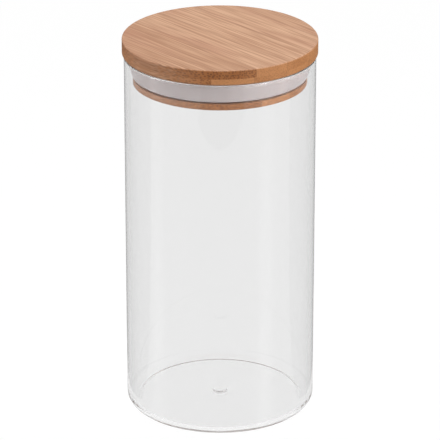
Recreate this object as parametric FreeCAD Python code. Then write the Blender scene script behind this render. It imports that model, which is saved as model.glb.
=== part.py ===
import FreeCAD, Part
import math
import os

# Lidded glass canister: a straight glass jar, and a plug lid turned from glued bamboo strips
# that holds itself in the mouth with a flared silicone seal.
# Millimetres, +Z up, origin on the jar's axis where it stands. The front faces -Y.

# Glass jar
glass_diameter = 100.0
glass_wall = 1.8
jar_height = 196.6
heel_radius = 5.0  # outer corner between wall and base
inner_heel_radius = 4.0
foot_width = 1.3  # flat ring that the jar stands on
foot_bevel_width = 1.2  # slope from that ring into the hollow
foot_bevel_height = 0.35
base_push_up = 1.2  # hollow under the middle of the base
base_thickness = 2.3  # glass at the middle of the base
base_edge_z = 2.1  # lowest place inside
button_radius = 4.5  # mark left inside the base when the jar was formed
button_top_radius = 2.9
button_height = 1.0

# Lid, turned from one board
rim_gap = 0.8  # cover to glass rim
cover_overhang = 1.0  # cover past the glass, all round
cover_thickness = 8.0
cover_edge_round = 0.7
plug_clearance = 2.8  # plug to glass, all round
plug_depth = 15.4  # plug below the cover
plug_edge_round = 0.6
neck_height = 3.8  # bamboo between the cover and the groove
flange_height = 3.4  # bamboo ring below the groove
groove_depth = 3.8

# Board that the lid is turned from
ply_names = ("cover_top", "cover_under", "plug_neck", "plug_middle", "plug_bottom")
seam_shifts = (1.3, 0.4, 9.2, 3.5, 8.0)  # one seam of each ply, off the axis
strip_width = 18.6
least_strip = 5.0  # a narrower strip at the edge is left joined to its neighbour
grain_angle = -49.0  # strips run this way, from +X, seen from above

# Silicone seal, drawn as it sits squeezed into the jar
seal_bore_gap = 0.25
seal_end_gap = 0.2
seal_foot_gap = 0.8  # below the seal, which the glass pushes up in its groove
seal_glass_gap = 0.2
band_thickness = 2.2  # seal inside the groove
skirt_step = 0.2  # foot of the skirt past the plug
skirt_root = 3.4  # height of the skirt where it leaves the band
skirt_round = 1.5  # foot of the skirt
lip_thickness = 1.2
lip_land = 1.0  # lip pressed flat against the glass
lip_drop = 1.9  # lip below the cover
lip_round = 0.4

# Places that follow
glass_radius = glass_diameter / 2
bore_radius = glass_radius - glass_wall
cover_radius = glass_radius + cover_overhang
plug_radius = bore_radius - plug_clearance
groove_radius = plug_radius - groove_depth
cover_z = jar_height + rim_gap
top_z = cover_z + cover_thickness
plug_z = cover_z - plug_depth
groove_top_z = cover_z - neck_height
groove_low_z = plug_z + flange_height
board_thickness = cover_thickness + plug_depth
ply_thickness = board_thickness / len(ply_names)

axis_foot = FreeCAD.Vector(0, 0, 0)
up = FreeCAD.Vector(0, 0, 1)


def point(r, z):
    return FreeCAD.Vector(r, 0, z)


def line(a, b):
    return Part.LineSegment(a, b).toShape()


def arc(a, middle, b):
    return Part.Arc(a, middle, b).toShape()


def arc_about(center, start, end):
    """Arc from start to end, the short way round a centre."""
    bisector = (start - center) + (end - center)
    bisector.normalize()
    middle = center + bisector * (start - center).Length
    return arc(start, middle, end)


def outline(corners):
    """Closed outline of (r, z, radius) corners, each rounded by its radius."""
    ways_in = []
    ways_out = []
    arcs = []
    for i, (r, z, radius) in enumerate(corners):
        here = point(r, z)
        to_last = point(*corners[i - 1][:2]) - here
        to_next = point(*corners[(i + 1) % len(corners)][:2]) - here
        half_angle = to_last.getAngle(to_next) / 2
        to_last.normalize()
        to_next.normalize()
        cut = radius / math.tan(half_angle)
        ways_in.append(here + to_last * cut)
        ways_out.append(here + to_next * cut)
        inwards = to_last + to_next
        if radius:
            inwards.normalize()
            center = here + inwards * (radius / math.sin(half_angle))
            arcs.append(arc_about(center, ways_in[-1], ways_out[-1]))
        else:
            arcs.append(None)
    edges = []
    for i, rounding in enumerate(arcs):
        edges.append(line(ways_out[i - 1], ways_in[i]))
        if rounding:
            edges.append(rounding)
    return edges


def turned(edges):
    face = Part.Face(Part.Wire(edges))
    return face.revolve(axis_foot, up, 360)


def make_jar():
    heel_center = point(glass_radius - heel_radius, heel_radius)
    inner_center = point(bore_radius - inner_heel_radius, base_edge_z + inner_heel_radius)
    rim_radius = glass_wall / 2
    rim_z = jar_height - rim_radius

    # The hollow under the base is a shallow cap, from the foot's bevel up to the middle
    foot_radius = glass_radius - heel_radius
    bevel_radius = foot_radius - foot_width
    hollow_radius = bevel_radius - foot_bevel_width
    cap_rise = base_push_up - foot_bevel_height
    cap_radius = (hollow_radius ** 2 + cap_rise ** 2) / (2 * cap_rise)
    cap_center = point(0, base_push_up - cap_radius)

    # The floor inside is a dome that runs into the inner heel without a kink
    floor_z = base_push_up + base_thickness
    heel_rise = inner_center.z - floor_z
    dome_radius = (inner_center.x ** 2 + heel_rise ** 2 - inner_heel_radius ** 2) / (
        2 * (inner_heel_radius - heel_rise)
    )
    dome_center = point(0, floor_z - dome_radius)
    to_heel = inner_center - dome_center
    to_heel.normalize()
    dome_edge = dome_center + to_heel * dome_radius

    # The button is a flat disc with an S-curve of two equal arcs round it, standing on the dome
    button_foot_z = dome_center.z + math.sqrt(dome_radius ** 2 - button_radius ** 2)
    button_top_z = button_foot_z + button_height
    button_slope = button_radius - button_top_radius
    button_bend = (button_slope ** 2 + button_height ** 2) / (4 * button_height)
    button_foot = point(button_radius, button_foot_z)
    button_edge = point(button_top_radius, button_top_z)
    button_half = (button_foot + button_edge) * 0.5
    button_middle = point(0, button_top_z)

    base_middle = point(0, base_push_up)
    hollow_edge = point(hollow_radius, foot_bevel_height)
    foot_inner = point(bevel_radius, 0)
    foot_outer = point(foot_radius, 0)
    wall_low = point(glass_radius, heel_radius)
    wall_high = point(glass_radius, rim_z)
    rim_top = point(glass_radius - rim_radius, jar_height)
    bore_high = point(bore_radius, rim_z)
    bore_low = point(bore_radius, inner_center.z)
    return turned([
        arc_about(cap_center, base_middle, hollow_edge),
        line(hollow_edge, foot_inner),
        line(foot_inner, foot_outer),
        arc_about(heel_center, foot_outer, wall_low),
        line(wall_low, wall_high),
        arc(wall_high, rim_top, bore_high),
        line(bore_high, bore_low),
        arc_about(inner_center, bore_low, dome_edge),
        arc_about(dome_center, dome_edge, button_foot),
        arc_about(button_foot + up * button_bend, button_foot, button_half),
        arc_about(button_edge - up * button_bend, button_half, button_edge),
        line(button_edge, button_middle),
        line(button_middle, base_middle),
    ])


def make_seal():
    low_z = groove_low_z + seal_foot_gap
    high_z = groove_top_z - seal_end_gap
    seal_bore = groove_radius + seal_bore_gap
    band_radius = seal_bore + band_thickness
    lip_radius = bore_radius - seal_glass_gap
    lip_z = cover_z - lip_drop
    skirt_radius = plug_radius + skirt_step
    return turned(outline([
        (seal_bore, low_z, 0),
        (skirt_radius, low_z, skirt_round),
        (lip_radius, lip_z - lip_land, 0),
        (lip_radius, lip_z, lip_round),
        (lip_radius - lip_thickness, lip_z, lip_round),
        (band_radius, low_z + skirt_root, lip_round),
        (band_radius, high_z, lip_round),
        (seal_bore, high_z, 0),
    ]))


def make_lid():
    return turned(outline([
        (0, top_z, 0),
        (0, plug_z, 0),
        (plug_radius, plug_z, plug_edge_round),
        (plug_radius, groove_low_z, 0),
        (groove_radius, groove_low_z, 0),
        (groove_radius, groove_top_z, 0),
        (plug_radius, groove_top_z, 0),
        (plug_radius, cover_z, 0),
        (cover_radius, cover_z, cover_edge_round),
        (cover_radius, top_z, cover_edge_round),
    ]))


def seams(ply):
    """Places of a ply's glue lines across the strips, from edge to edge of its disc."""
    ply_high = top_z - ply * ply_thickness
    reach = cover_radius if ply_high > cover_z else plug_radius
    if groove_low_z < ply_high - ply_thickness and ply_high < groove_top_z:
        reach = groove_radius
    steps = math.ceil(reach / strip_width) + 1
    places = [seam_shifts[ply] + i * strip_width for i in range(-steps, steps + 1)]
    inside = [place for place in places if abs(place) < reach - least_strip]
    return [-cover_radius] + inside + [cover_radius]


def make_strips():
    lid = make_lid()
    strips = {}
    for ply, name in enumerate(ply_names):
        low_z = top_z - (ply + 1) * ply_thickness
        places = seams(ply)
        for i, (near, far) in enumerate(zip(places, places[1:])):
            corner = FreeCAD.Vector(-cover_radius, near, low_z)
            slab = Part.makeBox(2 * cover_radius, far - near, ply_thickness, corner)
            slab.rotate(axis_foot, up, grain_angle)
            strips[f"{name}_strip_{i + 1}"] = lid.common(slab).Solids[0]
    return strips


pieces = {"glass_jar": make_jar(), "seal": make_seal()}
pieces.update(make_strips())
os.makedirs("parts", exist_ok=True)
for node, shape in pieces.items():
    shape.exportStep(f"parts/{node}.step")
    print(node, shape.ShapeType, "valid" if shape.isValid() else "broken", round(shape.Volume, 1))
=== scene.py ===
import math

import bpy
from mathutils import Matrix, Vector


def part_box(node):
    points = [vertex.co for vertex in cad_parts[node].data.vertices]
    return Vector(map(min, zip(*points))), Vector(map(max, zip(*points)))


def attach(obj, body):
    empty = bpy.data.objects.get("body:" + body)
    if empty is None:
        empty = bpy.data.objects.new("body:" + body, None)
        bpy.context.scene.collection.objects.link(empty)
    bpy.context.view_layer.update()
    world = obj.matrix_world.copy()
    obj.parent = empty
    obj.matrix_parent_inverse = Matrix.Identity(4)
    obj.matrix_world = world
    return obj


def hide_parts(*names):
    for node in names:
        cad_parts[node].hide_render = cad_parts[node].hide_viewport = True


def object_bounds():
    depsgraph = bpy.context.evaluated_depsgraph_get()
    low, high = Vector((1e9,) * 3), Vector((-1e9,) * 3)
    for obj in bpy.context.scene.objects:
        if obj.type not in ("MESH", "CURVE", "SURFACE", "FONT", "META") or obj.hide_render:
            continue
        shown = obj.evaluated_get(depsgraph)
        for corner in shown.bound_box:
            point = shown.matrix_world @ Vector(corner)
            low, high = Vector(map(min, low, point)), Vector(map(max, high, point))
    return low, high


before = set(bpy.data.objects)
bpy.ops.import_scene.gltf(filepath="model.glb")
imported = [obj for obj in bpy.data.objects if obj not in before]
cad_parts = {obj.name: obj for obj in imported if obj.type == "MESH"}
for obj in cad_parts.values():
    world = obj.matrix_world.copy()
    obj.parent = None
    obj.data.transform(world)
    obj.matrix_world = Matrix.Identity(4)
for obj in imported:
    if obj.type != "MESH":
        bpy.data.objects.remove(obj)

# Lidded glass canister: blown glass jar, turned bamboo lid, flared silicone seal.
# Metres, +Z up, jar standing on z = 0, front towards -Y.
scene = bpy.context.scene
mm = 0.001
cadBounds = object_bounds()
print("frame loaded with", len(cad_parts), "nodes")

# Meshes of all pieces
meshing = {
    "roundSteps": 6,             # steps round a small rounding
    "hold": 0.3 * mm,            # rows this close to each bend keep the flats flat when shaded smooth
    "weld": 0.001 * mm,          # points closer than this become one
    "crease": math.radians(40),  # sharper bends stay sharp
}


def linear(hexColour):  # sRGB hex to the linear colour that sockets take
    channels = [int(hexColour[i:i + 2], 16) / 255 for i in (1, 3, 5)]
    return [c / 12.92 if c <= 0.04045 else ((c + 0.055) / 1.055) ** 2.4 for c in channels] + [1.0]


def addNode(tree, kind, inputs=(), **settings):
    # inputs go by name or number, or in order; each is a value, a socket or another node
    # Map Range in order: value, from, from, to, to; Mix has its colours in 6 and 7, its numbers in 2 and 3
    node = tree.nodes.new(kind)
    for name, value in settings.items():
        setattr(node, name, value)
    if not isinstance(inputs, dict):
        inputs = dict(enumerate(inputs))
    for socket, value in inputs.items():
        if isinstance(value, bpy.types.Node):
            value = next(s for s in value.outputs if s.enabled)
        if isinstance(value, bpy.types.NodeSocket):
            tree.links.new(value, node.inputs[socket])
        else:
            node.inputs[socket].default_value = value
    return node


def newMaterial(name):  # a material and its emptied tree
    material = bpy.data.materials.new(name)
    material.use_nodes = True
    material.node_tree.nodes.clear()
    return material, material.node_tree


# Outlines are lists of (radius, height) points, turned or cut by the trees below

def arcPoints(center, start, end, steps):  # the short way round, both ends included
    center, start, end = Vector(center), Vector(start), Vector(end)
    radius = (start - center).length
    return [center + (start - center).slerp(end - center, i / steps).normalized() * radius
            for i in range(steps + 1)]


def roundedPoints(corners):  # (radius, height, rounding) corners; the two ends stay sharp
    points = []
    for i, (r, z, rounding) in enumerate(corners):
        here = Vector((r, z))
        if not rounding:
            points.append(here)
            continue
        toLast = (Vector(corners[i - 1][:2]) - here).normalized()
        toNext = (Vector(corners[i + 1][:2]) - here).normalized()
        half = toLast.angle(toNext) / 2
        cut = rounding / math.tan(half)
        center = here + (toLast + toNext).normalized() * (rounding / math.sin(half))
        points += arcPoints(center, here + toLast * cut, here + toNext * cut, meshing["roundSteps"])
    return points


def heldPoints(points):  # adds a row beside each bend
    hold = meshing["hold"]
    held = [points[0]]
    for last, here in zip(points, points[1:]):
        along = here - last
        if along.length > 4 * hold:  # a shorter run has no flat to keep
            held += [last + along.normalized() * hold, here - along.normalized() * hold]
        held.append(here)
    return held


def newTree(name, sockets):  # a geometry tree and its named inputs
    tree = bpy.data.node_groups.new(name, "GeometryNodeTree")
    tree.interface.new_socket("Geometry", in_out="OUTPUT", socket_type="NodeSocketGeometry")
    for label, kind in sockets.items():
        tree.interface.new_socket(label, in_out="INPUT", socket_type="NodeSocket" + kind)
    return tree, addNode(tree, "NodeGroupInput").outputs


def finishTree(tree, mesh, crease, material):  # weld, smooth shading with creases, material
    weld = addNode(tree, "GeometryNodeMergeByDistance", {"Geometry": mesh, "Distance": meshing["weld"]})
    smooth = addNode(tree, "GeometryNodeSetShadeSmooth", {"Geometry": weld}, domain="FACE")
    bend = addNode(tree, "GeometryNodeInputMeshEdgeAngle").outputs["Unsigned Angle"]
    isCrease = addNode(tree, "ShaderNodeMath", (bend, crease), operation="GREATER_THAN")
    creased = addNode(tree, "GeometryNodeSetShadeSmooth",
                      {"Geometry": smooth, "Selection": isCrease, "Shade Smooth": False}, domain="EDGE")
    real = addNode(tree, "GeometryNodeRealizeInstances", {"Geometry": creased})
    finish = addNode(tree, "GeometryNodeSetMaterial", {"Geometry": real, "Material": material})
    addNode(tree, "NodeGroupOutput", {"Geometry": finish})


def numberedGrid(tree, lastColumn, lastRow):  # a grid, and each point's column and row
    columns = addNode(tree, "ShaderNodeMath", (lastColumn, 1.0), operation="ADD")
    rows = addNode(tree, "ShaderNodeMath", (lastRow, 1.0), operation="ADD")
    grid = addNode(tree, "GeometryNodeMeshGrid", {"Size X": lastColumn, "Size Y": lastRow,
                                                  "Vertices X": columns, "Vertices Y": rows})
    position = addNode(tree, "GeometryNodeInputPosition")
    place = addNode(tree, "ShaderNodeSeparateXYZ", (position,)).outputs
    numbers = []
    for last, fromMiddle in ((lastColumn, place[0]), (lastRow, place[1])):
        number = addNode(tree, "ShaderNodeMath", (last, 0.5, fromMiddle), operation="MULTIPLY_ADD")
        numbers.append(addNode(tree, "ShaderNodeMath", (number,), operation="ROUND"))
    return [grid] + numbers


def outlinePoint(tree, outline, row):  # where the outline's point of that row lies
    position = addNode(tree, "GeometryNodeInputPosition")
    return addNode(tree, "GeometryNodeSampleIndex", {"Geometry": outline, "Value": position, "Index": row},
                   data_type="FLOAT_VECTOR", domain="POINT")


def turnedTree():  # an outline turned about Z, as on a lathe or a glass blower's wheel
    tree, given = newTree("turnedShape", {"Outline": "Geometry", "Steps Around": "Int",
                                          "Crease Angle": "Float", "Material": "Material"})
    size = addNode(tree, "GeometryNodeAttributeDomainSize", {"Geometry": given["Outline"]})
    lastRow = addNode(tree, "ShaderNodeMath", (size.outputs["Point Count"], 1.0), operation="SUBTRACT")
    grid, column, row = numberedGrid(tree, given["Steps Around"], lastRow)
    onOutline = outlinePoint(tree, given["Outline"], row)
    step = addNode(tree, "ShaderNodeMath", (math.tau, given["Steps Around"]), operation="DIVIDE")
    # half a turn back and half a turn on from +X
    fromMiddle = addNode(tree, "ShaderNodeMath", (given["Steps Around"], -0.5, column),
                         operation="MULTIPLY_ADD")
    angle = addNode(tree, "ShaderNodeMath", (fromMiddle, step), operation="MULTIPLY")
    turned = addNode(tree, "ShaderNodeVectorRotate", {"Vector": onOutline, "Angle": angle},
                     rotation_type="Z_AXIS")
    placed = addNode(tree, "GeometryNodeSetPosition", {"Geometry": grid, "Position": turned})
    finishTree(tree, placed, given["Crease Angle"], given["Material"])
    return tree


def stripColumns(tree, column, steps):
    # how far along the arc, from 0 at the near seam to 1 at the far one
    turnBack = addNode(tree, "ShaderNodeMath", (steps, 2.0, 2.0), operation="MULTIPLY_ADD")
    wayBack = addNode(tree, "ShaderNodeMath", (turnBack, column), operation="SUBTRACT")
    alongArc = addNode(tree, "ShaderNodeMath", (column, wayBack), operation="MINIMUM")
    alongArc = addNode(tree, "ShaderNodeMath", (alongArc, steps), operation="DIVIDE", use_clamp=True)
    # which arc: 1 and -1 are the two ends of the strip, 0 the middle of a seam face
    middle = addNode(tree, "ShaderNodeMath", (steps, 1.5, 2.0), operation="MULTIPLY_ADD")
    fromMiddle = addNode(tree, "ShaderNodeMath", (column, middle), operation="SUBTRACT")
    fromMiddle = addNode(tree, "ShaderNodeMath", (fromMiddle,), operation="ABSOLUTE")
    halfWay = addNode(tree, "ShaderNodeMath", (steps, 0.5, 1.0), operation="MULTIPLY_ADD")
    end = addNode(tree, "ShaderNodeMath", (fromMiddle, halfWay), operation="SUBTRACT")
    end = addNode(tree, "ShaderNodeClamp", (end, -1.0, 1.0))
    return alongArc, end


def stripRows(tree, row, count, lastRow):
    # the row's point in the outline
    outlineRow = addNode(tree, "ShaderNodeMath", (row, 1.0), operation="SUBTRACT")
    outlineLast = addNode(tree, "ShaderNodeMath", (count, 1.0), operation="SUBTRACT")
    outlineRow = addNode(tree, "ShaderNodeClamp", (outlineRow, 0.0, outlineLast))
    # 0 for the first and last rows, which close the two flat faces, and 1 for the others
    middle = addNode(tree, "ShaderNodeMath", (lastRow, 0.5), operation="MULTIPLY")
    fromMiddle = addNode(tree, "ShaderNodeMath", (row, middle), operation="SUBTRACT")
    fromMiddle = addNode(tree, "ShaderNodeMath", (fromMiddle,), operation="ABSOLUTE")
    halfRows = addNode(tree, "ShaderNodeMath", (count, 0.5), operation="MULTIPLY")
    onEdge = addNode(tree, "ShaderNodeMath", (fromMiddle, halfRows), operation="LESS_THAN")
    return outlineRow, onEdge


def stripTree():  # an outline turned about Z, but only between two seams that run along the grain
    tree, given = newTree("turnedStrip", {"Outline": "Geometry", "Near Seam": "Float", "Far Seam": "Float",
                                          "Grain Angle": "Float", "Strip Number": "Float", "Tone": "Float",
                                          "Arc Steps": "Int", "Crease Angle": "Float",
                                          "Material": "Material"})
    size = addNode(tree, "GeometryNodeAttributeDomainSize", {"Geometry": given["Outline"]})
    count = size.outputs["Point Count"]
    # columns go along one arc, back along the other, with a middle column on each seam face
    lastColumn = addNode(tree, "ShaderNodeMath", (given["Arc Steps"], 2.0, 4.0), operation="MULTIPLY_ADD")
    lastRow = addNode(tree, "ShaderNodeMath", (count, 1.0), operation="ADD")
    grid, column, row = numberedGrid(tree, lastColumn, lastRow)
    alongArc, end = stripColumns(tree, column, given["Arc Steps"])
    outlineRow, onEdge = stripRows(tree, row, count, lastRow)
    onOutline = outlinePoint(tree, given["Outline"], outlineRow)
    outlinePlace = addNode(tree, "ShaderNodeSeparateXYZ", (onOutline,)).outputs
    # the arc's two ends, where the outline's circle meets the seams
    arcEnds = []
    for seam in ("Near Seam", "Far Seam"):
        share = addNode(tree, "ShaderNodeMath", (given[seam], outlinePlace[0]), operation="DIVIDE")
        share = addNode(tree, "ShaderNodeClamp", (share, -1.0, 1.0))
        arcEnds.append(addNode(tree, "ShaderNodeMath", (share,), operation="ARCSINE"))
    angle = addNode(tree, "ShaderNodeMapRange", (alongArc, 0.0, 1.0, *arcEnds))
    alongGrain = addNode(tree, "ShaderNodeMath", (angle,), operation="COSINE")
    for factor in (outlinePlace[0], end, onEdge):
        alongGrain = addNode(tree, "ShaderNodeMath", (alongGrain, factor), operation="MULTIPLY")
    acrossGrain = addNode(tree, "ShaderNodeMath", (angle,), operation="SINE")
    acrossGrain = addNode(tree, "ShaderNodeMath", (acrossGrain, outlinePlace[0]), operation="MULTIPLY")
    place = addNode(tree, "ShaderNodeCombineXYZ", (alongGrain, acrossGrain, outlinePlace[2]))
    place = addNode(tree, "ShaderNodeVectorRotate", {"Vector": place, "Angle": given["Grain Angle"]},
                    rotation_type="Z_AXIS")
    strip = addNode(tree, "GeometryNodeSetPosition", {"Geometry": grid, "Position": place})
    strip = addNode(tree, "GeometryNodeFlipFaces", {"Mesh": strip})  # outwards, as the rows go downwards
    # what the finish needs to know about its strip
    for name, value in (("stripNumber", "Strip Number"), ("stripTone", "Tone"),
                        ("nearSeam", "Near Seam"), ("farSeam", "Far Seam")):
        strip = addNode(tree, "GeometryNodeStoreNamedAttribute",
                        {"Geometry": strip, "Name": name, "Value": given[value]},
                        data_type="FLOAT", domain="POINT")
    finishTree(tree, strip, given["Crease Angle"], given["Material"])
    return tree


def shapeFrom(tree, name, outline, sizes):  # a plain mesh from an outline and one of the trees
    line = bpy.data.meshes.new(name + "Outline")
    line.from_pydata([(r, 0, z) for r, z in outline], [(i, i + 1) for i in range(len(outline) - 1)], [])
    piece = bpy.data.objects.new(name, line)
    scene.collection.objects.link(piece)
    modifier = piece.modifiers.new(tree.name, "NODES")
    modifier.node_group = tree
    sizes = {"Crease Angle": meshing["crease"], **sizes}
    for item in tree.interface.items_tree:
        if item.in_out == "INPUT" and item.name in sizes:
            modifier[item.identifier] = sizes[item.name]
    graph = bpy.context.evaluated_depsgraph_get()
    mesh = bpy.data.meshes.new_from_object(piece.evaluated_get(graph), preserve_all_data_layers=True,
                                           depsgraph=graph)
    piece.modifiers.clear()
    piece.data = mesh
    bpy.data.meshes.remove(line)
    return piece


turnedShape = turnedTree()
turnedStrip = stripTree()

# Glass jar
jar = {
    "wall": 1.8 * mm,
    "heelRadius": 5.0 * mm,      # outer corner between wall and base
    "innerHeelRadius": 4.0 * mm,
    "footWidth": 1.3 * mm,       # flat ring that it stands on
    "bevelWidth": 1.2 * mm,      # slope from that ring into the hollow
    "bevelHeight": 0.35 * mm,
    "pushUp": 1.2 * mm,          # hollow under the middle of the base
    "floorHeight": 2.1 * mm,     # inside of the base, at its edge
    "floorCrown": 1.4 * mm,      # rise from there to the middle
    "buttonRadius": 4.5 * mm,    # mark left inside the base by the forming
    "buttonTopRadius": 2.9 * mm,
    "buttonHeight": 1.0 * mm,
    "stepsAround": 192,
    "hollowSteps": 12,           # steps along each bend of the outline
    "heelSteps": 24,
    "floorSteps": 24,
    "rimSteps": 8,               # each half of the rim
    "buttonSteps": 8,            # each half of the button's slope
    "tint": "#F4F4F4",           # light left after one wall's two skins
    "ior": 1.47,
    "waveLength": 45 * mm,       # slow waves in the blown wall
    "waveHeight": 0.004 * mm,
}


def jarOutline():
    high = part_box("glass_jar")[1]
    radius, height = high.x, high.z
    bore = radius - jar["wall"]
    heel, innerHeel = jar["heelRadius"], jar["innerHeelRadius"]
    footOuter = radius - heel
    footInner = footOuter - jar["footWidth"]
    hollowEdge = Vector((footInner - jar["bevelWidth"], jar["bevelHeight"]))
    capRise = jar["pushUp"] - hollowEdge.y
    capRadius = (hollowEdge.x ** 2 + capRise ** 2) / (2 * capRise)
    heelCenter = Vector((footOuter, heel))
    innerCenter = Vector((bore - innerHeel, jar["floorHeight"] + innerHeel))
    rimRadius = jar["wall"] / 2
    rimCenter = Vector((radius - rimRadius, height - rimRadius))
    # floor inside: a shallow dome that runs into the inner heel without a kink
    crown = jar["floorCrown"]
    domeRadius = (innerCenter.x ** 2 + (innerHeel - crown) ** 2 - innerHeel ** 2) / (2 * crown)
    domeCenter = Vector((0, jar["floorHeight"] + crown - domeRadius))
    domeEdge = domeCenter + (innerCenter - domeCenter).normalized() * domeRadius
    # button: a flat disc with an S-curve of two equal arcs round it
    buttonFoot = Vector((jar["buttonRadius"], 0))
    buttonFoot.y = domeCenter.y + math.sqrt(domeRadius ** 2 - buttonFoot.x ** 2)
    buttonEdge = Vector((jar["buttonTopRadius"], buttonFoot.y + jar["buttonHeight"]))
    buttonHalf = (buttonFoot + buttonEdge) / 2
    slope = buttonFoot.x - buttonEdge.x
    bend = Vector((0, (slope ** 2 + jar["buttonHeight"] ** 2) / (4 * jar["buttonHeight"])))
    runs = [
        arcPoints((0, jar["pushUp"] - capRadius), (0, jar["pushUp"]), hollowEdge, jar["hollowSteps"]),
        [Vector((footInner, 0))],
        arcPoints(heelCenter, (footOuter, 0), (radius, heel), jar["heelSteps"]),
        arcPoints(rimCenter, (radius, rimCenter.y), (rimCenter.x, height), jar["rimSteps"]),
        arcPoints(rimCenter, (rimCenter.x, height), (bore, rimCenter.y), jar["rimSteps"])[1:],
        arcPoints(innerCenter, (bore, innerCenter.y), domeEdge, jar["heelSteps"]),
        arcPoints(domeCenter, domeEdge, buttonFoot, jar["floorSteps"])[1:],
        arcPoints(buttonFoot + bend, buttonFoot, buttonHalf, jar["buttonSteps"])[1:],
        arcPoints(buttonEdge - bend, buttonHalf, buttonEdge, jar["buttonSteps"])[1:],
        [Vector((0, buttonEdge.y))],
    ]
    return heldPoints([point for run in runs for point in run])


def blownGlass():
    # clear borosilicate, blown and fire polished: bright edges, faint slow waves, a little grey
    material, tree = newMaterial("borosilicate_glass_blown")
    place = addNode(tree, "ShaderNodeTexCoord").outputs["Object"]
    waves = addNode(tree, "ShaderNodeTexNoise",
                    {"Vector": place, "Scale": 1 / jar["waveLength"], "Detail": 1.0})
    wavy = addNode(tree, "ShaderNodeBump",
                   {"Strength": 1.0, "Distance": jar["waveHeight"], "Height": waves})
    glass = addNode(tree, "ShaderNodeBsdfPrincipled", {
        "Base Color": linear(jar["tint"]), "Roughness": 0.0, "IOR": jar["ior"],
        "Transmission Weight": 1.0, "Normal": wavy})
    # lamps shine through the wall, so the seal and the floor inside are lit
    clear = addNode(tree, "ShaderNodeBsdfTransparent", {"Color": linear(jar["tint"])})
    path = addNode(tree, "ShaderNodeLightPath")
    shader = addNode(tree, "ShaderNodeMixShader", (path.outputs["Is Shadow Ray"], glass, clear))
    addNode(tree, "ShaderNodeOutputMaterial", {"Surface": shader})
    return material


def makeJar():
    piece = shapeFrom(turnedShape, "blown_jar", jarOutline(), {
        "Steps Around": jar["stepsAround"], "Material": blownGlass()})
    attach(piece, "jar")
    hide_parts("glass_jar")
    print("jar made:", len(piece.data.polygons), "faces")


makeJar()

# Silicone seal
seal = {
    "bandThickness": 2.2 * mm,
    "skirtRadius": 45.6 * mm,    # foot of the skirt
    "skirtRoot": 3.4 * mm,
    "skirtRound": 1.5 * mm,
    "lipThickness": 1.2 * mm,
    "lipLand": 1.0 * mm,         # lip pressed flat against the glass
    "bandDrop": 2.1 * mm,        # top of the band in the groove, below the lip's top
    "rounding": 0.4 * mm,
    "stepsAround": 160,
    "colour": "#D9CFCE",
    "deepColour": "#CEC3C2",
    "cloudSize": 6 * mm,         # slow mottling in the milky rubber
    "grainSize": 0.35 * mm,      # satin grain left by the mould
    "grainHeight": 0.03 * mm,
    "grainStrength": 0.25,
    "roughness": (0.34, 0.44),   # from one cloud to the next
    "ior": 1.41,
    "milkShare": 0.5,            # share of the light that goes in and comes out near by
    "milkDepth": 1.2 * mm,
    "milkReach": (1.0, 0.85, 0.8),  # for red, green and blue
}


def sealOutline():
    low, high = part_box("seal")
    bore = min(v.co.xy.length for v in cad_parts["seal"].data.vertices)
    band = bore + seal["bandThickness"]
    bandZ = high.z - seal["bandDrop"]
    lip, lipZ = high.x, high.z
    rounding = seal["rounding"]
    return heldPoints(roundedPoints([
        (bore, low.z, 0),
        (seal["skirtRadius"], low.z, seal["skirtRound"]),
        (lip, lipZ - seal["lipLand"], 0),
        (lip, lipZ, rounding),
        (lip - seal["lipThickness"], lipZ, rounding),
        (band, low.z + seal["skirtRoot"], rounding),
        (band, bandZ, rounding),
        (bore, bandZ, 0),
        (bore, low.z, 0),
    ]))


def mouldedSilicone():
    # milky silicone rubber, compression moulded: soft, cloudy white with a satin skin
    material, tree = newMaterial("silicone_rubber_moulded")
    place = addNode(tree, "ShaderNodeTexCoord").outputs["Object"]
    clouds = addNode(tree, "ShaderNodeTexNoise",
                     {"Vector": place, "Scale": 1 / seal["cloudSize"], "Detail": 2.0})
    colour = addNode(tree, "ShaderNodeMix",
                     {0: clouds, 6: linear(seal["deepColour"]), 7: linear(seal["colour"])},
                     data_type="RGBA")
    grain = addNode(tree, "ShaderNodeTexNoise",
                    {"Vector": place, "Scale": 1 / seal["grainSize"], "Detail": 1.0})
    skin = addNode(tree, "ShaderNodeBump", {
        "Strength": seal["grainStrength"], "Distance": seal["grainHeight"], "Height": grain})
    satin = addNode(tree, "ShaderNodeMapRange", (clouds, 0.0, 1.0, *seal["roughness"]))
    rubber = addNode(tree, "ShaderNodeBsdfPrincipled", {
        "Base Color": colour, "Roughness": satin, "IOR": seal["ior"], "Normal": skin,
        "Subsurface Weight": seal["milkShare"], "Subsurface Radius": seal["milkReach"],
        "Subsurface Scale": seal["milkDepth"]})
    addNode(tree, "ShaderNodeOutputMaterial", {"Surface": rubber})
    return material


def makeSeal():
    piece = shapeFrom(turnedShape, "silicone_seal", sealOutline(), {
        "Steps Around": seal["stepsAround"], "Material": mouldedSilicone()})
    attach(piece, "seal")
    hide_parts("seal")
    print("seal made:", len(piece.data.polygons), "faces")


makeSeal()

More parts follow.
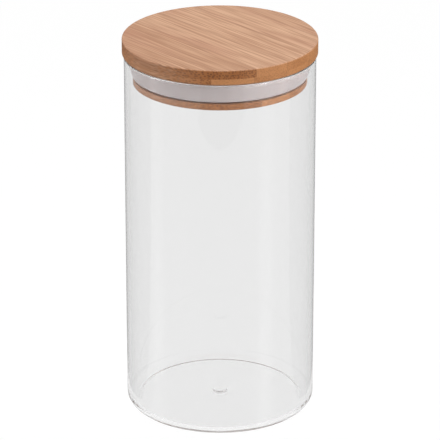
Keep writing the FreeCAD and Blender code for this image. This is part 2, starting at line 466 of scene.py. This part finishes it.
# Bamboo lid
lid = {
    "edgeRound": 0.7 * mm,       # cover's two edges
    "plugRound": 0.6 * mm,
    "coverThickness": 8.0 * mm,
    "plugRadius": 45.4 * mm,
    "neckHeight": 3.8 * mm,      # bamboo between cover and groove
    "flangeHeight": 3.4 * mm,    # bamboo ring below the groove
    "grooveDepth": 3.8 * mm,
    "grainAngle": math.radians(-49),
    "arcSteps": 40,
    "faceInset": 0.5 * mm,       # a row this far inside each flat face keeps it flat to the eye
    "seamReach": 0.2 * mm,       # a side of a strip this close to the rim is the rim and no seam
    # long grain, on the flat faces
    "light": "#D9AC8A",
    "dark": "#AE7B58",
    "streakShare": 0.85,         # of the shading; the rest is bands
    "shadeRange": (0.3, 0.7),    # of the pattern, from dark to light
    "toneOnFace": 0.5,           # how much a strip's own tone shows
    # laid over it: pattern, colour, where in the pattern it begins and is full, and its share there
    "layers": (("patches", "#B27A5C", 0.5, 0.75, 0.6),    # redder where the steaming took more
               ("fibres", "#94613F", 0.5, 0.75, 0.45)),
    # length along the grain, width across it and detail; streaks and fibres are drawn coarser
    # than real fibres, which are about 0.3 mm wide, so that they show
    "patterns": {"patches": (60 * mm, 14 * mm, 1.0),
                 "bands": (90 * mm, 7 * mm, 1.0),
                 "streaks": (32 * mm, 0.6 * mm, 0.0),
                 "fibres": (18 * mm, 0.8 * mm, 0.0)},
    "stripShift": 3.7,           # moves the pattern on from strip to strip, so that no two are alike
    # end grain, on the turned edges
    "edgeLight": "#C88955",
    "edgeDark": "#A36432",
    "toneOnEdge": 1.6,
    "vessel": "#5A3418",
    "vesselSpacing": 1.1 * mm,   # a little coarser than real, so that the dots show
    "vesselEdge": (0.2, 0.4),    # dark up to here and gone here, in spacings from its middle
    "dotShares": (-0.3, 0.3, 0.7, 0.15),  # two tones of a strip, and how strong its dots are at each
    "endTurn": (0.1, 0.65, 0.25, 1.0),    # how far an edge faces along the grain, and end grain's shares
    "faceTurn": (0.3, 0.8),      # edge to flat face, by how far it faces up
    # on faces and edges alike
    "glue": "#7A4A2C",
    "glueWidth": (0.05 * mm, 0.25 * mm),  # full and gone, off the seam; wider than real, so that it shows
    "glueShare": 0.45,
    "roughness": (0.42, 0.58),   # from one streak to the next
    "ior": 1.5,
    "fibreHeight": 0.05 * mm,
    "fibreStrength": 0.3,
    # darker below 0, lighter above; the strips that aren't named are 0
    "tones": {"cover_top_strip_1": -0.3, "cover_top_strip_2": -0.25, "cover_top_strip_3": 0.25,
              "cover_top_strip_4": 0.2, "cover_top_strip_5": 0.25, "cover_top_strip_6": 0.1,
              "cover_under_strip_1": -0.1, "cover_under_strip_2": 0.35, "cover_under_strip_3": 0.15,
              "cover_under_strip_4": 0.25, "cover_under_strip_5": 0.2, "plug_bottom_strip_1": -0.1,
              "plug_bottom_strip_2": -0.15, "plug_bottom_strip_3": 0.15},
}


def lidOutline():  # from the top's rim down to the plug's bottom rim
    coverRadius, topZ = cadBounds[1].x, cadBounds[1].z
    coverZ = topZ - lid["coverThickness"]
    neckZ = coverZ - lid["neckHeight"]
    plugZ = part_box("plug_bottom_strip_1")[0].z
    flangeZ = plugZ + lid["flangeHeight"]
    plug = lid["plugRadius"]
    groove = plug - lid["grooveDepth"]
    return roundedPoints([
        (0, topZ, 0),
        (coverRadius, topZ, lid["edgeRound"]),
        (coverRadius, coverZ, lid["edgeRound"]),
        (plug, coverZ, 0),
        (plug, neckZ, 0),
        (groove, neckZ, 0),
        (groove, flangeZ, 0),
        (plug, flangeZ, 0),
        (plug, plugZ, lid["plugRound"]),
        (0, plugZ, 0),
    ])[1:-1]


def plyOutline(outline, low, high):  # the stretch of the lid's outline between two heights
    reach = 0.01 * mm  # heights this close are the same
    kept = [p for p in outline if low - reach < p.y < high + reach]
    for z, place in ((high, 0), (low, len(kept) + 1)):
        for a, b in zip(outline, outline[1:]):
            if a.y > z + reach and b.y < z - reach:
                kept.insert(place, a.lerp(b, (a.y - z) / (a.y - b.y)))
    inset = Vector((lid["faceInset"], 0))
    return heldPoints([kept[0] - inset] + kept + [kept[-1] - inset])


def grainPatterns(tree, place, shift):  # noises drawn out along the grain
    patterns = {}
    for name, (length, width, detail) in lid["patterns"].items():
        drawnOut = addNode(tree, "ShaderNodeMapping",
                           {"Vector": place, "Scale": (1 / length, 1 / width, 1 / width)})
        patterns[name] = addNode(tree, "ShaderNodeTexNoise",
                                 {"Vector": drawnOut, "W": shift, "Scale": 1.0, "Detail": detail},
                                 noise_dimensions="4D")
    return patterns


def longGrain(tree, patterns, tone):  # colour of the flat faces, which are cut along the strips
    shade = addNode(tree, "ShaderNodeMix",
                    {0: lid["streakShare"], 2: patterns["bands"], 3: patterns["streaks"]})
    shade = addNode(tree, "ShaderNodeMapRange", (shade, *lid["shadeRange"]))
    shade = addNode(tree, "ShaderNodeMath", (tone, lid["toneOnFace"], shade), operation="MULTIPLY_ADD",
                    use_clamp=True)
    colour = addNode(tree, "ShaderNodeMix", {0: shade, 6: linear(lid["dark"]), 7: linear(lid["light"])},
                     data_type="RGBA")
    for pattern, layer, begin, full, most in lid["layers"]:
        share = addNode(tree, "ShaderNodeMapRange", (patterns[pattern], begin, full, 0.0, most))
        colour = addNode(tree, "ShaderNodeMix", {0: share, 6: colour, 7: linear(layer)}, data_type="RGBA")
    return colour


def endGrain(tree, section, shift, bands, tone):  # colour of the turned edges, with more dots in dark strips
    shade = addNode(tree, "ShaderNodeMath", (tone, lid["toneOnEdge"], bands), operation="MULTIPLY_ADD",
                    use_clamp=True)
    colour = addNode(tree, "ShaderNodeMix",
                     {0: shade, 6: linear(lid["edgeDark"]), 7: linear(lid["edgeLight"])}, data_type="RGBA")
    # vessels: thin dark rods along the grain, which the turned edge cuts into dots
    spaced = addNode(tree, "ShaderNodeMapping", {"Vector": section, "Scale": [1 / lid["vesselSpacing"]] * 3})
    spaced = addNode(tree, "ShaderNodeVectorMath", (spaced, shift), operation="ADD")
    rods = addNode(tree, "ShaderNodeTexVoronoi", {"Vector": spaced, "Scale": 1.0}, voronoi_dimensions="2D")
    vessels = addNode(tree, "ShaderNodeMapRange", (rods, *lid["vesselEdge"], 1.0, 0.0))
    dots = addNode(tree, "ShaderNodeMapRange", (tone, *lid["dotShares"]))
    dots = addNode(tree, "ShaderNodeMath", (vessels, dots), operation="MULTIPLY")
    return addNode(tree, "ShaderNodeMix", {0: dots, 6: colour, 7: linear(lid["vessel"])}, data_type="RGBA")


def endGrainShare(tree, facing):  # none on the flat faces, most where an edge is cut across the strips
    along = addNode(tree, "ShaderNodeMath", (facing[0],), operation="ABSOLUTE")
    upright = addNode(tree, "ShaderNodeMath", (facing[2],), operation="ABSOLUTE")
    onEdge = addNode(tree, "ShaderNodeMapRange", (along, *lid["endTurn"]))
    return addNode(tree, "ShaderNodeMapRange", (upright, *lid["faceTurn"], onEdge, 0.0))


def glueLine(tree, acrossGrain):  # along the strip's nearer seam
    gaps = []
    for seam in ("nearSeam", "farSeam"):
        line = addNode(tree, "ShaderNodeAttribute", attribute_name=seam).outputs["Fac"]
        gap = addNode(tree, "ShaderNodeMath", (acrossGrain, line), operation="SUBTRACT")
        gaps.append(addNode(tree, "ShaderNodeMath", (gap,), operation="ABSOLUTE"))
    gap = addNode(tree, "ShaderNodeMath", gaps, operation="MINIMUM")
    return addNode(tree, "ShaderNodeMapRange", (gap, *lid["glueWidth"], lid["glueShare"], 0.0))


def turnedBamboo():
    # strip bamboo glued into a board, turned, sanded and oiled: satin, streaked along the grain,
    # dotted where the turning cut across it
    material, tree = newMaterial("strip_bamboo_turned_oiled")
    coords = addNode(tree, "ShaderNodeTexCoord").outputs
    number = addNode(tree, "ShaderNodeAttribute", attribute_name="stripNumber").outputs["Fac"]
    tone = addNode(tree, "ShaderNodeAttribute", attribute_name="stripTone").outputs["Fac"]
    shift = addNode(tree, "ShaderNodeMath", (number, lid["stripShift"]), operation="MULTIPLY")
    # x runs along the grain from here on, and y across it
    toGrain = (0.0, 0.0, -lid["grainAngle"])
    place = addNode(tree, "ShaderNodeMapping", {"Vector": coords["Object"], "Rotation": toGrain})
    grainPlace = addNode(tree, "ShaderNodeSeparateXYZ", (place,)).outputs
    section = addNode(tree, "ShaderNodeCombineXYZ", (grainPlace[1], grainPlace[2]))
    facing = addNode(tree, "ShaderNodeMapping", {"Vector": coords["Normal"], "Rotation": toGrain},
                     vector_type="NORMAL")
    facing = addNode(tree, "ShaderNodeSeparateXYZ", (facing,)).outputs
    patterns = grainPatterns(tree, place, shift)
    colour = addNode(tree, "ShaderNodeMix",
                     {0: endGrainShare(tree, facing), 6: longGrain(tree, patterns, tone),
                      7: endGrain(tree, section, shift, patterns["bands"], tone)}, data_type="RGBA")
    colour = addNode(tree, "ShaderNodeMix",
                     {0: glueLine(tree, grainPlace[1]), 6: colour, 7: linear(lid["glue"])}, data_type="RGBA")
    satin = addNode(tree, "ShaderNodeMapRange", (patterns["streaks"], 0.0, 1.0, *lid["roughness"]))
    raised = addNode(tree, "ShaderNodeBump", {
        "Strength": lid["fibreStrength"], "Distance": lid["fibreHeight"], "Height": patterns["fibres"]})
    wood = addNode(tree, "ShaderNodeBsdfPrincipled", {
        "Base Color": colour, "Roughness": satin, "IOR": lid["ior"], "Normal": raised})
    addNode(tree, "ShaderNodeOutputMaterial", {"Surface": wood})
    return material


def stripSeams(node):  # where the strip's two seams lie, across the grain
    across = Vector((-math.sin(lid["grainAngle"]), math.cos(lid["grainAngle"]), 0))
    corners = [v.co for v in node.data.vertices]
    places = [corner.dot(across) for corner in corners]
    rim = max(corner.xy.length for corner in corners)
    sides = (min(places), max(places))
    # an outermost strip has the turned edge there instead, so its seam is put well outside
    return [side if abs(side) < rim - lid["seamReach"] else 2 * side for side in sides]


def makeLid():
    outline = lidOutline()
    finish = turnedBamboo()
    names = sorted(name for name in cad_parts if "_strip_" in name)
    for number, name in enumerate(names):
        low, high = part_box(name)
        near, far = stripSeams(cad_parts[name])
        piece = shapeFrom(turnedStrip, "bamboo_" + name, plyOutline(outline, low.z, high.z), {
            "Near Seam": near, "Far Seam": far, "Grain Angle": lid["grainAngle"],
            "Strip Number": float(number), "Tone": lid["tones"].get(name, 0.0),
            "Arc Steps": lid["arcSteps"], "Material": finish})
        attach(piece, "lid")
        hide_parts(name)
    print("lid made:", len(names), "strips")


makeLid()

# Studio
studio = {
    "floorSize": 8.0,
    "floorDrop": 0.1 * mm,       # just clear of the foot ring
    "floorColour": "#C6C6C6",
    "floorRoughness": 0.3,
    "floorSpecular": 0.5,
    "floorWhite": 0.85,          # share of plain white in the floor that is seen straight or through glass
    "whiteStrength": 1.08,
    "ambient": 0.4,
    "sheen": 0.5,                # backdrop as glossy surfaces reflect it
    "cardHeight": 1.0 * mm,
    # dark cards on the floor, outside the picture, seen only as a painted reflection that darkens the glass:
    # two opposite corners and a colour
    "reflectionCards": {"front_reflection_card": ((-0.21, -1.2), (0.25, -0.46), "#202020"),
              "left_reflection_card": ((-0.7, -0.02), (-0.06, 0.7), "#6A6A6A"),
              "right_reflection_card": ((0.06, -0.02), (0.7, 0.7), "#6A6A6A")},
    # softboxes: place, what they point at, width and height, and watts
    "lamps": {"top_softbox": ((0.0, 0.2, 1.6), (0, 0, 0.1), (1.4, 1.4), 9.0),
              "left_softbox": ((-1.17, -0.2, 0.75), (0, 0, 0.12), (0.4, 0.8), 5.8),
              "right_softbox": ((1.0, -0.67, 0.75), (0, 0, 0.12), (0.4, 0.8), 8.6)},
    "bounces": 300,              # light runs a long way inside the thin glass base
}


def flatSheet(name, low, high, z, material):  # a rectangle between two opposite corners
    (x0, y0), (x1, y1) = low, high
    mesh = bpy.data.meshes.new(name)
    mesh.from_pydata([(x0, y0, z), (x1, y0, z), (x1, y1, z), (x0, y1, z)], [], [(0, 1, 2, 3)])
    mesh.materials.append(material)
    sheet = bpy.data.objects.new(name, mesh)
    scene.collection.objects.link(sheet)
    return sheet


def sweepPaper():
    # satin paper: pale, with a soft sheen; seen straight or through glass it is nearly plain white
    material, tree = newMaterial("satin_paper_sweep")
    paper = addNode(tree, "ShaderNodeBsdfPrincipled", {
        "Base Color": linear(studio["floorColour"]), "Roughness": studio["floorRoughness"],
        "Specular IOR Level": studio["floorSpecular"]})
    white = addNode(tree, "ShaderNodeEmission", {"Strength": studio["whiteStrength"]})
    path = addNode(tree, "ShaderNodeLightPath").outputs
    seen = addNode(tree, "ShaderNodeMath", (path["Is Camera Ray"], path["Is Transmission Ray"]),
                   operation="MAXIMUM")
    share = addNode(tree, "ShaderNodeMath", (seen, studio["floorWhite"]), operation="MULTIPLY")
    both = addNode(tree, "ShaderNodeMixShader", (share, paper, white))
    addNode(tree, "ShaderNodeOutputMaterial", {"Surface": both})
    return material


def paintedReflectionCard(name, colour):
    # matt card for a painted reflection in the glass, clear from below so that the floor's own sheen doesn't
    # show where a card lies
    material, tree = newMaterial("painted_reflection_" + name)
    matt = addNode(tree, "ShaderNodeBsdfDiffuse", {"Color": linear(colour)})
    clear = addNode(tree, "ShaderNodeBsdfTransparent")
    below = addNode(tree, "ShaderNodeNewGeometry").outputs["Backfacing"]
    both = addNode(tree, "ShaderNodeMixShader", (below, matt, clear))
    addNode(tree, "ShaderNodeOutputMaterial", {"Surface": both})
    return material


def makeFloor():
    half = studio["floorSize"] / 2
    floor = flatSheet("floor", (-half, -half), (half, half), -studio["floorDrop"], sweepPaper())


def addPaintedReflection(name, low, high, colour):  # painted reflection: seen only in the glass, which reflects this darker sheet instead of the pale floor
    card = flatSheet(name, low, high, studio["cardHeight"], paintedReflectionCard(name, colour))
    card.visible_camera = False
    card.visible_diffuse = False
    card.visible_transmission = False
    card.visible_shadow = False


def makeWorld():
    world = bpy.data.worlds.new("studio")
    scene.world = world
    world.use_nodes = True
    tree = world.node_tree
    tree.nodes.clear()
    path = addNode(tree, "ShaderNodeLightPath").outputs
    seen = addNode(tree, "ShaderNodeMath", (path["Is Glossy Ray"], studio["sheen"]), operation="MULTIPLY")
    for ray in ("Is Camera Ray", "Is Transmission Ray"):
        seen = addNode(tree, "ShaderNodeMath", (seen, path[ray]), operation="MAXIMUM")
    room = addNode(tree, "ShaderNodeBackground", {"Color": (1, 1, 1, 1), "Strength": studio["ambient"]})
    backdrop = addNode(tree, "ShaderNodeBackground", {"Color": (1, 1, 1, 1), "Strength": 1.0})
    both = addNode(tree, "ShaderNodeMixShader", (seen, room, backdrop))
    addNode(tree, "ShaderNodeOutputWorld", {"Surface": both})


def addLamp(name, place, aim, size, power):  # a softbox that glass reflects but the camera doesn't see
    data = bpy.data.lights.new(name, "AREA")
    data.shape = "RECTANGLE"
    data.size, data.size_y = size
    data.energy = power
    lamp = bpy.data.objects.new(name, data)
    lamp.location = place
    lamp.rotation_euler = (Vector(aim) - Vector(place)).to_track_quat("-Z", "Y").to_euler()
    lamp.visible_camera = False
    lamp.visible_transmission = False
    scene.collection.objects.link(lamp)


makeFloor()
for name, card in studio["reflectionCards"].items():
    addPaintedReflection(name, *card)
makeWorld()
for name, lamp in studio["lamps"].items():
    addLamp(name, *lamp)
for kind in ("max_bounces", "transmission_bounces", "glossy_bounces"):
    setattr(scene.cycles, kind, studio["bounces"])
scene.view_settings.view_transform = "Standard"
print("studio made")

# Camera, looking down on the lid through a long lens
view = {
    "distance": 1.8,
    "elevation": math.radians(22.62),
    "frameWidth": 233.15 * mm,   # width seen at the object
    "clipEnd": 100.0,            # well past the floor's edge
}


def makeCamera():
    forward = Vector((0, math.cos(view["elevation"]), -math.sin(view["elevation"])))
    aim = Vector((0, 0, (cadBounds[0].z + cadBounds[1].z) / 2))
    data = bpy.data.cameras.new("camera")
    data.lens = data.sensor_width * view["distance"] / view["frameWidth"]
    data.clip_end = view["clipEnd"]
    camera = bpy.data.objects.new("camera", data)
    camera.location = aim - forward * view["distance"]
    camera.rotation_euler = forward.to_track_quat("-Z", "Y").to_euler()
    scene.collection.objects.link(camera)
    scene.camera = camera
    print("camera made, lens", round(data.lens))


makeCamera()
